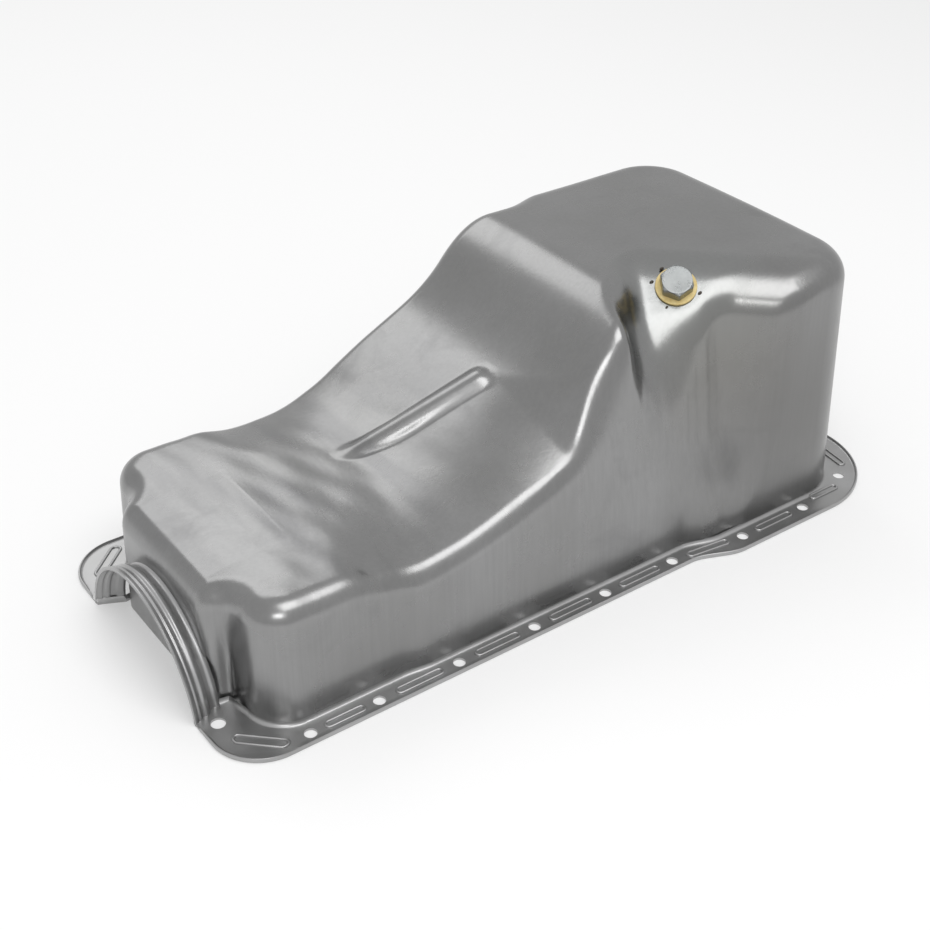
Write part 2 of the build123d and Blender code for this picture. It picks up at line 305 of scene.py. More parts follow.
def pan_form(p):
    """Distance-like value of the pan's outer form at an array of points."""
    x, y, z = p[..., 0], p[..., 1], p[..., 2]
    side = np.abs(y)
    wide = half_width(x)
    slope = half_width(x + 0.5) - half_width(x - 0.5)
    walls = (side - wide + z * DRAFT + folds(x, y, z)) / np.sqrt(1 + slope ** 2)
    arch_wall = ARCH_WALL + z * DRAFT - x
    sump_wall = x - SUMP_WALL + z * DRAFT
    plan = round_max(walls, arch_wall, ARCH_CORNER)
    plan = round_max(plan, sump_wall, SUMP_CORNER)

    # Leaning part of the near wall
    lean = (p - LEAN_PLACE) @ LEAN_AXIS + folds(x, y, z)
    lean = lean - LEAN_FOOT_RELIEF * (1 - ease(z, *LEAN_FOOT))
    lean_cut = round_max(-lean, (x - LEAN_BREAK - lean) * 0.707, LEAN_BREAK_ROUND)
    plan = round_max(plan, -lean_cut, LEAN_ROUND)

    # Ledge, which stops at the ramp's rim
    beside_ramp = round_max(-((p - RIM_PLACE) @ RIM_AXIS), (RIM_START - x) * 0.85, RIM_ROUND)
    ledge = (p - LEDGE_PLACE) @ LEDGE_AXIS
    ledge_cut = round_max(-ledge, (x - LEDGE_END - ledge) * 0.707, LEDGE_END_ROUND)
    ledge_cut = round_max(ledge_cut, beside_ramp, RIM_ROUND)
    plan = round_max(plan, -ledge_cut, LEDGE_ROUND)

    # The hood stands out from the arch wall, under the same deck
    front = HOOD_FRONT + 0.01 * z - x
    hood_side = side - HOOD_HALF_WIDTH + 0.06 * z
    hood = round_max(hood_side, front, HOOD_ROUND)
    hood = np.maximum(hood, x - HOOD_BACK)
    plan = round_min(plan, hood, 5.0 + 11.0 * ease(z, 30, 75))

    # Upper face, met by the walls in a rounded edge
    height = deck_height(x, y)
    dx = deck_height(x + 0.5, y) - deck_height(x - 0.5, y)
    dy = deck_height(x, y + 0.5) - deck_height(x, y - 0.5)
    top = (z - height) / np.sqrt(1 + dx * dx + dy * dy)
    scallop = ease(x, 75, 100) * (1 - ease(x, 240, 275))
    radius = 14.0 - 4.0 * scallop + 3.0 * ease(x, 280, 330)
    form = round_max(plan, top, radius)

    # Rib
    a = np.array(RIB_START)
    b = np.array(RIB_END)
    line = b - a
    share = np.clip(((p - a) @ line) / (line @ line), 0, 1)
    away = p - (a + share[..., None] * line)
    rib = np.sqrt((away ** 2).sum(-1)) - (RIB_RADIUS - 1.5 * (1 - share))
    form = round_min(form, rib, RIB_ROUND)

    # Drain facet, which also stops at the ramp's rim
    facet = (p - SEAT) @ DRAIN_AXIS
    facet_cut = round_max(-facet, beside_ramp, FACET_ROUND)
    form = round_max(form, -facet_cut, FACET_ROUND)

    # Small dimple in the near scallop's end
    dimple = np.sqrt((x - DIMPLE[0]) ** 2 + (side - DIMPLE[1]) ** 2)
    form = form + DIMPLE_DEPTH * np.exp(-((dimple / DIMPLE_REACH) ** 2)) * (y < 0) * (z > 40)
    return form


def station_centres(side_count, fan_counts):
    """Ray starts and level directions, once round the pan."""
    arch_centre, sump_centre = 92.0, 405.0
    along = np.linspace(arch_centre, sump_centre, side_count)
    sump_fan = fan(sump_centre, fan_counts[0], -90.0, 90.0)
    arch_fan = fan(arch_centre, fan_counts[1], 90.0, 270.0)
    starts = [(x, 0.0) for x in along]
    turns = [-90.0] * side_count
    starts += [(sump_centre, 0.0)] * len(sump_fan)
    turns += list(sump_fan)
    starts += [(x, 0.0) for x in along[::-1]]
    turns += [90.0] * side_count
    starts += [(arch_centre, 0.0)] * len(arch_fan)
    turns += list(arch_fan)
    angles = np.radians(turns)
    directions = np.stack((np.cos(angles), np.sin(angles)), -1)
    return np.array(starts), directions


def surface_points(starts, directions, lifts, level):
    """Where rays from the middle line meet the form, one row a station."""
    c, s = np.cos(lifts), np.sin(lifts)
    way = np.stack((directions[:, :1] * c, directions[:, 1:] * c, s), -1)
    base = np.zeros(way.shape)
    base[..., 0] = starts[:, :1]
    base[..., 1] = starts[:, 1:]
    low = np.full(lifts.shape, 15.0)
    high = np.full(lifts.shape, 330.0)
    for _ in range(24):
        middle = (low + high) / 2
        inside = pan_form(base + way * middle[..., None]) < level
        low = np.where(inside, middle, low)
        high = np.where(inside, high, middle)
    return base + way * ((low + high) / 2)[..., None]


def spread(values, weights, count):
    """Values resampled so that each step carries the same weight."""
    total = np.concatenate(([0.0], np.cumsum(weights)))
    return np.interp(np.linspace(0, total[-1], count), total, values)


def fan(centre, count, start, end):
    """Angles of a fan of rays, closer together where the foot's outline turns."""
    angles = np.linspace(start, end, 721)
    rad = np.radians(angles)
    directions = np.stack((np.cos(rad), np.sin(rad)), -1)
    starts = np.tile((centre, 0.0), (len(angles), 1))
    points = surface_points(starts, directions, np.full((len(angles), 1), 0.12), 0.0)[:, 0]
    steps = np.diff(points[:, :2], axis=0)
    lengths = np.hypot(steps[:, 0], steps[:, 1])
    heading = np.unwrap(np.arctan2(steps[:, 1], steps[:, 0]))
    turn = np.abs(np.gradient(heading))
    weights = lengths + 22 * np.convolve(turn, np.ones(9) / 9, "same")
    return spread(angles, weights, count + 2)[1:-1]


def drawn_surface(side_count, fan_counts, rows, level):
    """Grid of points over the drawn form, from the foot up to the middle line."""
    starts, directions = station_centres(side_count, fan_counts)
    dense = np.tile(np.linspace(0, math.pi / 2, 260), (len(starts), 1))
    points = surface_points(starts, directions, dense, level)
    steps = np.diff(points, axis=1)
    lengths = np.linalg.norm(steps, axis=2)
    ways = steps / lengths[..., None]
    turn = np.zeros(lengths.shape)
    turn[:, 1:] = np.linalg.norm(np.diff(ways, axis=1), axis=2)
    weights = lengths + 20 * turn
    for _ in range(3):
        weights = (np.roll(weights, 1, 0) + 2 * weights + np.roll(weights, -1, 0)) / 4
        weights[:, 1:-1] = (weights[:, :-2] + 2 * weights[:, 1:-1] + weights[:, 2:]) / 4
    lifts = np.array([spread(d, w, rows) for d, w in zip(dense, weights)])
    for _ in range(2):
        lifts = (np.roll(lifts, 1, 0) + 2 * lifts + np.roll(lifts, -1, 0)) / 4
    lifts[:, 0] = 0.0
    lifts[:, -1] = math.pi / 2
    return surface_points(starts, directions, lifts, level)


def drawn_shell(material):
    """The drawn sheet, outside and inside, with the two arches cut out."""
    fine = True
    side_count = 139 if fine else 91
    fans = (113, 113) if fine else (75, 75)
    rows = 126 if fine else 84
    outside = drawn_surface(side_count, fans, rows, 0.0)
    inside = drawn_surface(side_count, fans, rows // 2, -SHEET)
    stations = len(outside)
    points = np.concatenate((outside.reshape(-1, 3), inside.reshape(-1, 3)))
    faces = grid_faces(stations, rows, close_rows=True)
    inner_start = stations * rows
    inner_rows = rows // 2
    inner = grid_faces(stations, inner_rows, close_rows=True, start=inner_start)
    faces += [tuple(reversed(f)) for f in inner]
    for i in range(stations):
        k = (i + 1) % stations
        inner_i, inner_k = inner_start + i * inner_rows, inner_start + k * inner_rows
        faces.append((k * rows, i * rows, inner_i, inner_k))
    shell = mesh_piece("pan_shell", points, faces, material)
    weld = shell.modifiers.new("close the top seam", "WELD")
    weld.merge_threshold = 0.00002
    bake(shell)
    cut_with(shell, tunnel("arch_tunnel", ARCH_VALLEY, -12.0, 44.0))
    cut_with(shell, tunnel("cover_tunnel", COVER_VALLEY, 440.0, 520.0))
    smooth(shell, 50.0)
    return shell


def tunnel(name, ring, start, end):
    """A closed round bar that opens a wall for a seal arch."""
    centre, radius = ring
    angles = np.linspace(0, 2 * math.pi, 144, endpoint=False)
    points = [
        (x, radius * math.sin(a), centre + radius * math.cos(a))
        for x in (start, end) for a in angles
    ]
    count = len(angles)
    faces = [(i, (i + 1) % count, count + (i + 1) % count, count + i) for i in range(count)]
    faces.append(tuple(range(count - 1, -1, -1)))
    faces.append(tuple(range(count, 2 * count)))
    return mesh_piece(name, points, faces)


def cut_with(piece, cutter):
    """Takes a cutter's volume out of a piece, and removes the cutter."""
    cut = piece.modifiers.new("cut", "BOOLEAN")
    cut.operation = "DIFFERENCE"
    cut.solver = "EXACT"
    cut.object = cutter
    bake(piece)
    bpy.data.objects.remove(cutter)


# Seal bands

def band_section(rim_x, direction, depth, beads):
    """Band's outer line from the rim inwards: distance along x and lift off the cone."""
    line = [(0.15, -0.55), (0.0, -0.1), (0.25, 0.25), (0.9, 0.35)]
    for d in np.linspace(1.4, depth - 3.0, 40):
        lift = 0.35 - 0.35 * min(1.0, (d - 1.4) / 2.0)
        for place, size in beads:
            u = (d - place) / size
            if abs(u) < 1.6:
                lift += 0.55 * size * math.exp(-(u * 1.15) ** 4)
        line.append((d, lift))
    for t in np.linspace(0.1, 1.0, 9):
        turn = t * math.pi / 2
        line.append((depth - 3.0 + 3.4 * math.sin(turn), 4.2 * (1 - math.cos(turn))))
    return [(rim_x + direction * d, d / depth, lift) for d, lift in line]


def seal_band(name, rim, valley, rim_x, direction, depth, beads, material):
    """One arched band between a rim and a valley ring, with pressed beads."""
    section = band_section(rim_x, direction, depth, beads)
    turns = np.linspace(-1, 1, 121)
    outer, inner = [], []
    for turn in turns:
        for x, share, lift in section:
            share = min(share, 1.0)
            centre = rim[0] + (valley[0] - rim[0]) * share
            radius = rim[1] + (valley[1] - rim[1]) * share
            for points, away in ((outer, radius + SHEET + lift), (inner, radius + lift * 0.8)):
                reach = math.acos(max(-1.0, min(1.0, (-centre + 0.2) / away)))
                angle = turn * reach
                points.append((x, away * math.sin(angle), centre + away * math.cos(angle)))
    columns = len(section)
    rows = len(turns)
    count = rows * columns
    faces = [f[::-1] for f in grid_faces(rows, columns)]
    faces += grid_faces(rows, columns, start=count)
    for i in range(rows - 1):
        for j in (0, columns - 1):
            a, b = i * columns + j, (i + 1) * columns + j
            quad = (a, b, count + b, count + a)
            faces.append(quad if j else quad[::-1])
    for j in range(columns - 1):
        for i in (0, rows - 1):
            a, b = i * columns + j, i * columns + j + 1
            quad = (a, b, count + b, count + a)
            faces.append(quad[::-1] if i else quad)
    if direction < 0:
        faces = [f[::-1] for f in faces]
    return mesh_piece(name, outer + inner, faces, material, 55.0)


# Rail

def arc(centre, radius, start, end, count):
    """Points along an arc, angles in degrees."""
    angles = np.radians(np.linspace(start, end, count))
    return [(centre[0] + radius * math.cos(a), centre[1] + radius * math.sin(a)) for a in angles]


def run(a, b, count):
    """Points along a straight run."""
    return [tuple(p) for p in np.linspace(a, b, count)]


def rail_lines():
    """Paired points of the rail's outer edge and the wall's foot, for the far side."""
    end_x = RAIL_LENGTH
    corner = (RAIL_ARCH_CORNER, RAIL_NARROW - RAIL_ARCH_CORNER)
    far_corner = (end_x - RAIL_SUMP_CORNER, RAIL_WIDE - RAIL_SUMP_CORNER)
    wall_corner = (ARCH_WALL + ARCH_CORNER, half_width(ARCH_WALL) - ARCH_CORNER)
    sump_corner = (SUMP_WALL - SUMP_CORNER, WALL_WIDE - SUMP_CORNER)
    outer = run((0, 72.5), (0, corner[1]), 14)[:-1]
    inner = run((0.2, 65.2), (15.0, 57.6), 7)[:-1] + run((15.0, 57.6), (25.0, 59.0), 4)[:-1]
    inner += run((25.0, 59.0), (ARCH_WALL, wall_corner[1]), 4)
    outer += arc(corner, RAIL_ARCH_CORNER, 180, 90, 40)[:-1]
    inner += arc(wall_corner, ARCH_CORNER, 180, 90, 40)[1:]
    places = np.concatenate((
        np.linspace(corner[0], RAIL_STEP[0], 70)[:-1],
        np.linspace(*RAIL_STEP, 30)[:-1],
        np.linspace(RAIL_STEP[1], far_corner[0], 22)[:-1],
    ))
    wall_from, wall_to = wall_corner[0], sump_corner[0]
    for x in places:
        outer.append((x, RAIL_NARROW + (RAIL_WIDE - RAIL_NARROW) * ease(x, *RAIL_STEP)))
        wall_x = wall_from + (wall_to - wall_from) * (x - places[0]) / (far_corner[0] - places[0])
        inner.append((wall_x, float(half_width(np.float64(wall_x)))))
    outer += arc(far_corner, RAIL_SUMP_CORNER, 90, 0, 50)
    inner += arc(sump_corner, SUMP_CORNER, 90, 0, 50)
    outer += run((end_x, far_corner[1]), (end_x, 56.0), 6)[1:]
    inner += run((SUMP_WALL, sump_corner[1]), (SUMP_WALL, 50.0), 6)[1:]
    count = min(len(outer), len(inner))
    return np.array(outer[:count]), np.array(inner[:count])


def rail_section():
    """The rail's closed outline: which edge, the distance or share from it, and height."""
    fillet = 2.8
    lip = (
        (2.9, 1.5), (2.2, 1.62), (1.7, 2.0), (1.35, 2.6), (1.2, 3.0), (0.95, 3.2), (0.55, 3.2),
        (0.25, 3.0), (0.08, 2.6), (0.0, 1.8), (0.0, 1.0), (0.15, 0.45), (0.5, 0.1), (1.0, 0.0),
    )
    section = []
    for t in np.linspace(0, 1, 9):
        turn = t * math.pi / 2
        away = fillet * (1 - math.cos(turn)) - 0.2
        section.append(("wall", away, SHEET + fillet * (1 - math.sin(turn))))
    for share in (0.3, 0.5, 0.7):
        section.append(("share", share, SHEET))
    section += [("edge", d, z) for d, z in lip]
    for share in (0.66, 0.33):
        section.append(("share", share, 0.0))
    section.append(("wall", -1.6, 0.0))
    section.append(("wall", -1.6, 2.5))
    return section


def rail_side(name, side, material):
    """One long side of the rail with its raised lip, round both corners."""
    outer, inner = rail_lines()
    outer = outer * (1, side)
    inner = inner * (1, side)
    across = outer - inner
    width = np.hypot(across[:, 0], across[:, 1])[:, None]
    across = across / width
    section = rail_section()
    points = []
    for i in range(len(outer)):
        for kind, value, z in section:
            if kind == "wall":
                place = inner[i] + across[i] * value
            elif kind == "edge":
                place = outer[i] - across[i] * value
            else:
                place = inner[i] + (outer[i] - inner[i]) * value
            points.append((place[0], place[1], z))
    rows, columns = len(outer), len(section)
    faces = grid_faces(rows, columns, close_columns=True)
    faces.append(tuple(range(columns)))
    faces.append(tuple((rows - 1) * columns + j for j in range(columns - 1, -1, -1)))
    if side > 0:
        faces = [f[::-1] for f in faces]
    return mesh_piece(name, points, faces, material)


def bolt_places():
    """Bolts along one long side: x, distance from the middle and hole size."""
    places = [(FIRST_BOLT, BOLT_LINE_NARROW, BOLT_HOLE)]
    for k in range(7):
        line = BOLT_LINE_NARROW if k <= 4 else BOLT_LINE_WIDE
        places.append((SECOND_BOLT + k * BOLT_PITCH, line, BOLT_HOLE))
    return places


def node_tree(name, inputs):
    """A geometry tree with a geometry input, named sizes and a geometry output."""
    tree = bpy.data.node_groups.new(name, "GeometryNodeTree")
    tree.interface.new_socket("Geometry", in_out="INPUT", socket_type="NodeSocketGeometry")
    for label, kind, value in inputs:
        socket = tree.interface.new_socket(label, in_out="INPUT", socket_type=kind)
        if value is not None:
            socket.default_value = value
    tree.interface.new_socket("Geometry", in_out="OUTPUT", socket_type="NodeSocketGeometry")
    tree.nodes.new("NodeGroupInput")
    tree.nodes.new("NodeGroupOutput")
    return tree


def link(tree, a, output, b, target):
    tree.links.new(a.outputs[output], b.inputs[target])


def end_tree(tree, node, output):
    """Gives the last geometry the tree's material and sends it out."""
    finish = tree.nodes.new("GeometryNodeSetMaterial")
    link(tree, node, output, finish, "Geometry")
    link(tree, tree.nodes["Group Input"], "Material", finish, "Material")
    link(tree, finish, "Geometry", tree.nodes["Group Output"], "Geometry")
    return tree


def apply_tree(piece, tree, values):
    """Sets the tree's inputs by identifier on a modifier, and bakes it."""
    modifier = piece.modifiers.new(tree.name, "NODES")
    modifier.node_group = tree
    for item in tree.interface.items_tree:
        if item.in_out == "INPUT" and item.name in values:
            modifier[item.identifier] = values[item.name]
    bake(piece)


def bolt_hole_tree():
    """Cuts a round hole at each point of a points object."""
    tree = node_tree("bolt holes", [
        ("Places", "NodeSocketObject", None),
        ("Hole Radius", "NodeSocketFloat", 0.0038),
        ("Material", "NodeSocketMaterial", None),
    ])
    given = tree.nodes["Group Input"]
    places = tree.nodes.new("GeometryNodeObjectInfo")
    bar = tree.nodes.new("GeometryNodeMeshCylinder")
    bar.inputs["Vertices"].default_value = 40
    bar.inputs["Depth"].default_value = 0.02
    on_points = tree.nodes.new("GeometryNodeInstanceOnPoints")
    real = tree.nodes.new("GeometryNodeRealizeInstances")
    cut = tree.nodes.new("GeometryNodeMeshBoolean")
    cut.operation = "DIFFERENCE"
    cut.solver = "EXACT"
    link(tree, given, "Places", places, "Object")
    link(tree, given, "Hole Radius", bar, "Radius")
    link(tree, places, "Geometry", on_points, "Points")
    link(tree, bar, "Mesh", on_points, "Instance")
    link(tree, on_points, "Instances", real, "Geometry")
    link(tree, given, "Geometry", cut, "Mesh 1")
    link(tree, real, "Geometry", cut, "Mesh 2")
    return end_tree(tree, cut, "Mesh")


def ridge_tree():
    """Sweeps a small round ridge along every edge line of the input."""
    tree = node_tree("pressed ridges", [
        ("Width", "NodeSocketFloat", 0.0016),
        ("Height", "NodeSocketFloat", 0.0008),
        ("Material", "NodeSocketMaterial", None),
    ])
    given = tree.nodes["Group Input"]
    line = tree.nodes.new("GeometryNodeMeshToCurve")
    circle = tree.nodes.new("GeometryNodeCurvePrimitiveCircle")
    circle.inputs["Resolution"].default_value = 12
    circle.inputs["Radius"].default_value = 0.5
    size = tree.nodes.new("ShaderNodeCombineXYZ")
    shape = tree.nodes.new("GeometryNodeTransform")
    sweep = tree.nodes.new("GeometryNodeCurveToMesh")
    real = tree.nodes.new("GeometryNodeRealizeInstances")
    link(tree, given, "Geometry", line, "Mesh")
    link(tree, given, "Width", size, "X")
    link(tree, given, "Height", size, "Y")
    link(tree, circle, "Curve", shape, "Geometry")
    link(tree, size, "Vector", shape, "Scale")
    link(tree, line, "Curve", sweep, "Curve")
    link(tree, shape, "Geometry", sweep, "Profile Curve")
    link(tree, sweep, "Mesh", real, "Geometry")
    return end_tree(tree, real, "Geometry")


def points_piece(name, points):
    """Loose points, for a tree to place things on."""
    return mesh_piece(name, points, [])


def edge_lines(name, lines):
    """Closed point loops as plain edges, for a tree to follow."""
    points, edges = [], []
    for loop in lines:
        start = len(points)
        points += loop
        edges += [(start + i, start + (i + 1) % len(loop)) for i in range(len(loop))]
    mesh = bpy.data.meshes.new(name)
    mesh.from_pydata(to_metres(points).tolist(), edges, [])
    piece = bpy.data.objects.new(name, mesh)
    bpy.context.scene.collection.objects.link(piece)
    return piece


def slot_loop(centre, turn, length, width, z, bow=0.0):
    """Round-ended slot outline."""
    straight = (length - width) / 2
    loop = []
    for start, x in ((-90, straight), (90, -straight)):
        for a in np.radians(np.linspace(start, start + 180, 13)):
            loop.append((x + width / 2 * math.cos(a), width / 2 * math.sin(a)))
    c, s = math.cos(turn), math.sin(turn)
    shaped = []
    for u, v in loop:
        v += bow * ((u / (length / 2)) ** 2 - 0.5)
        shaped.append((centre[0] + u * c - v * s, centre[1] + u * s + v * c, z))
    return shaped


def bead_loops():
    """Outlines of the rail's stiffening beads: between bolts and round the corners."""
    bolts = bolt_places()
    loops = []
    for (x0, y0, _), (x1, y1, _) in zip(bolts, bolts[1:]):
        for side in (-1, 1):
            centre = ((x0 + x1) / 2, side * (y0 + y1) / 2)
            turn = math.atan2(side * (y1 - y0), x1 - x0)
            length = (x1 - x0) * 0.56
            loops.append(slot_loop(centre, turn, length, BEAD_WIDTH, BEAD_Z))
    corners = (
        ((452.0, 111.2), 0.0, 24.0, BEAD_WIDTH, 0.0),
        ((489.5, 84.0), -83.0, 24.0, BEAD_WIDTH, 0.0),
        ((23.0, 98.5), 43.0, 31.0, 6.2, -1.6),
    )
    for side in (-1, 1):
        for (x, y), turn, length, width, bow in corners:
            turn = side * math.radians(turn)
            loops.append(slot_loop((x, side * y), turn, length, width, BEAD_Z, side * bow))
    return loops


# Drain plug

def on_drain(u, v, h):
    """Point by its place on the facet and its height along the drain's axis."""
    return tuple(SEAT + DRAIN_LEVEL * u - DRAIN_DOWN * v + DRAIN_AXIS * h)


def outward(piece):
    """Recalculates a closed mesh's normals to face outwards."""
    work = bmesh.new()
    work.from_mesh(piece.data)
    bmesh.ops.recalc_face_normals(work, faces=work.faces)
    work.to_mesh(piece.data)
    work.free()
    return piece


def turned(name, rings, material, sharp_angle, capped=True):
    """A piece from rings of (radius, height) pairs about the drain's axis."""
    count = len(rings[0])
    points = []
    for ring in rings:
        for k, (radius, height) in enumerate(ring):
            a = 2 * math.pi * k / count
            points.append(on_drain(radius * math.cos(a), radius * math.sin(a), height))
    faces = grid_faces(len(rings), count, close_rows=not capped, close_columns=True)
    if capped:
        faces.append(tuple(range((len(rings) - 1) * count, len(rings) * count)))
        faces.append(tuple(range(count - 1, -1, -1)))
    return outward(mesh_piece(name, points, faces, material, sharp_angle))


def washer(material):
    """Sealing ring with rounded edges."""
    middle, half_band, half_height, edge = 9.75, 3.25, 1.0, 0.9
    rings = []
    for start, dx, dz in ((0, 1, 1), (90, -1, 1), (180, -1, -1), (270, 1, -1)):
        for a in np.radians(np.linspace(start, start + 90, 6)):
            radius = middle + dx * (half_band - edge) + edge * math.cos(a)
            height = half_height + dz * (half_height - edge) + edge * math.sin(a)
            rings.append([(radius, height)] * 96)
    return turned("drain_washer", rings, material, 35.0, capped=False)


def hex_radius(angle, flats):
    """Distance from the middle of a hexagon to its side, corners slightly rounded."""
    turn = (angle + math.pi / 6) % (math.pi / 3) - math.pi / 6
    return min(flats / 2 / math.cos(turn), flats / 2 * 1.135)


def plug_head(material):
    """Hex head with a turned chamfer and a shallow dished face."""
    count = 192
    base, top, flats = 2.0, 10.0, 19.0
    chamfer_radius, chamfer_slope = 9.35, 1.75
    face = ((9.2, 0.0), (8.9, 0.02), (8.0, 0.0), (6.0, -0.08), (3.0, -0.12), (0.6, -0.12))
    sides = [hex_radius(2 * math.pi * k / count - HEAD_TURN, flats) for k in range(count)]
    rings = [[(6.0, base)] * count, [(r * 0.985, base) for r in sides]]
    for h in np.linspace(base + 0.35, top - 0.05, 12):
        cone = chamfer_radius + (top - h) * chamfer_slope
        rings.append([(min(r, cone), h) for r in sides])
    rings += [[(r, top + h)] * count for r, h in face]
    return turned("plug_head", rings, material, 28.0)


def plug_thread(material):
    """Threaded shank: a helix of ridges on a round bar, with a plain tip."""
    count, rows = 48, 150
    pitch, radius, depth = 1.27, 6.33, 0.75
    top, length, tip = 2.3, 15.0, -11.8
    rings = []
    for i in range(rows):
        h = top - length * i / (rows - 1)
        fade = min(1.0, max(0.0, (h + 12.8) / 1.2)) * min(1.0, max(0.0, (0.6 - h) / 1.0))
        ring = []
        for k in range(count):
            ridge = abs((h / pitch + k / count) % 1.0 - 0.5) * 2
            r = radius - depth * (1 - ridge) * fade - max(0.0, tip - h) * 0.8
            ring.append((r, h))
        rings.append(ring)
    return turned("plug_thread", rings, material, 40.0)


def weld_mark_tree():
    """A small flattened nugget at each point, of the given size."""
    tree = node_tree("weld marks", [
        ("Mark Size", "NodeSocketFloat", 0.0013),
        ("Seed", "NodeSocketInt", 4),
        ("Material", "NodeSocketMaterial", None),
    ])
    given = tree.nodes["Group Input"]
    ball = tree.nodes.new("GeometryNodeMeshIcoSphere")
    ball.inputs["Subdivisions"].default_value = 3
    on_points = tree.nodes.new("GeometryNodeInstanceOnPoints")
    chance = tree.nodes.new("FunctionNodeRandomValue")
    chance.data_type = "FLOAT_VECTOR"
    chance.inputs[0].default_value = (0.8, 0.55, 0.8)
    chance.inputs[1].default_value = (1.5, 0.9, 1.2)
    real = tree.nodes.new("GeometryNodeRealizeInstances")
    link(tree, given, "Mark Size", ball, "Radius")
    link(tree, given, "Geometry", on_points, "Points")
    link(tree, ball, "Mesh", on_points, "Instance")
    link(tree, given, "Seed", chance, "Seed")
    tree.links.new(chance.outputs[0], on_points.inputs["Scale"])
    link(tree, on_points, "Instances", real, "Geometry")
    return end_tree(tree, real, "Geometry")


# Materials

class Finish:
    """A material's node tree, built step by step."""

    def __init__(self, name):
        self.material = bpy.data.materials.new(name)
        self.material.use_nodes = True
        self.nodes = self.material.node_tree.nodes
        self.links = self.material.node_tree.links
        self.nodes.clear()
        self.out = self.nodes.new("ShaderNodeOutputMaterial")
        self.shader = self.nodes.new("ShaderNodeBsdfPrincipled")
        self.links.new(self.shader.outputs["BSDF"], self.out.inputs["Surface"])
        self.place = self.nodes.new("ShaderNodeTexCoord").outputs["Object"]

    def stretched(self, scale, turn=(0, 0, 0)):
        mapping = self.nodes.new("ShaderNodeMapping")
        mapping.inputs["Scale"].default_value = scale
        mapping.inputs["Rotation"].default_value = turn
        self.links.new(self.place, mapping.inputs["Vector"])
        return mapping.outputs["Vector"]

    def noise(self, scale, detail=4.0, rough=0.5, place=None, distortion=0.0):
        node = self.nodes.new("ShaderNodeTexNoise")
        node.inputs["Scale"].default_value = scale
        node.inputs["Detail"].default_value = detail
        node.inputs["Roughness"].default_value = rough
        node.inputs["Distortion"].default_value = distortion
        self.links.new(place or self.place, node.inputs["Vector"])
        return node.outputs["Fac"]

    def span(self, value, low, high, new_low, new_high):
        node = self.nodes.new("ShaderNodeMapRange")
        keys = ("From Min", "From Max", "To Min", "To Max")
        for key, number in zip(keys, (low, high, new_low, new_high)):
            node.inputs[key].default_value = number
        self.links.new(value, node.inputs["Value"])
        return node.outputs["Result"]

    def combine(self, operation, a, b):
        node = self.nodes.new("ShaderNodeMath")
        node.operation = operation
        for socket, value in zip(node.inputs, (a, b)):
            if isinstance(value, (int, float)):
                socket.default_value = value
            else:
                self.links.new(value, socket)
        return node.outputs["Value"]

    def mix(self, factor, a, b):
        node = self.nodes.new("ShaderNodeMix")
        node.data_type = "RGBA"
        for socket, value in zip((node.inputs[0], node.inputs[6], node.inputs[7]), (factor, a, b)):
            if isinstance(value, (int, float)):
                socket.default_value = value
            elif isinstance(value, tuple):
                socket.default_value = (*value, 1.0)
            else:
                self.links.new(value, socket)
        return node.outputs[2]

    def near(self, centre, radius):
        """One at a place in the CAD frame, falling to nothing at the radius."""
        away = self.nodes.new("ShaderNodeVectorMath")
        away.operation = "DISTANCE"
        away.inputs[1].default_value = tuple(to_metres(centre))
        self.links.new(self.place, away.inputs[0])
        return self.span(away.outputs["Value"], radius * MM, 0.0, 0.0, 1.0)

    def bump(self, height, strength, distance, under=None):
        node = self.nodes.new("ShaderNodeBump")
        node.inputs["Strength"].default_value = strength
        node.inputs["Distance"].default_value = distance
        self.links.new(height, node.inputs["Height"])
        if under:
            self.links.new(under, node.inputs["Normal"])
        return node.outputs["Normal"]

    def set(self, **values):
        names = {
            "color": "Base Color", "metal": "Metallic", "rough": "Roughness", "normal": "Normal",
        }
        for key, value in values.items():
            socket = self.shader.inputs[names[key]]
            if isinstance(value, (int, float)):
                socket.default_value = value
            elif isinstance(value, tuple):
                socket.default_value = (*value, 1.0)
            else:
                self.links.new(value, socket)


